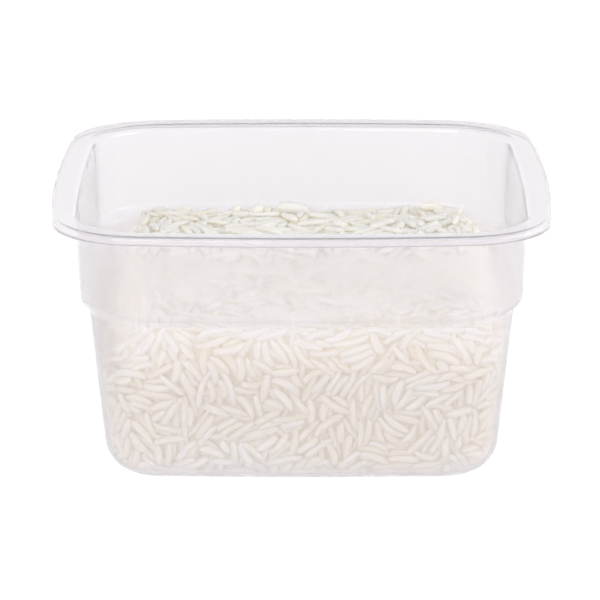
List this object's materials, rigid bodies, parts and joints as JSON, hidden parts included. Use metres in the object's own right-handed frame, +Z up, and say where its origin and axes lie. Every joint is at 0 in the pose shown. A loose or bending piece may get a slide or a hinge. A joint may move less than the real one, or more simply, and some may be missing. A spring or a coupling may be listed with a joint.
{
  "type": "takeaway meal container",
  "caption": "Clear square takeaway tub with rounded corners, tapered stepped walls and a broad curled flange, open at the top and part filled with cooked long-grain white rice.",
  "frame": {"origin": "middle of the base, on the surface the tub stands on", "axes": "+Z up out of the open mouth, -Y towards the side the picture shows in front, +X to the right of it"},
  "size_m": [0.14, 0.14, 0.0744],
  "materials": {
    "tub": "clear thermoformed plastic sheet, gloss",
    "rice": "moist cooked white rice, soft sheen"
  },
  "bodies": {
    "root": {"tub": "tub", "rice": "rice"}
  },
  "joints": []
}
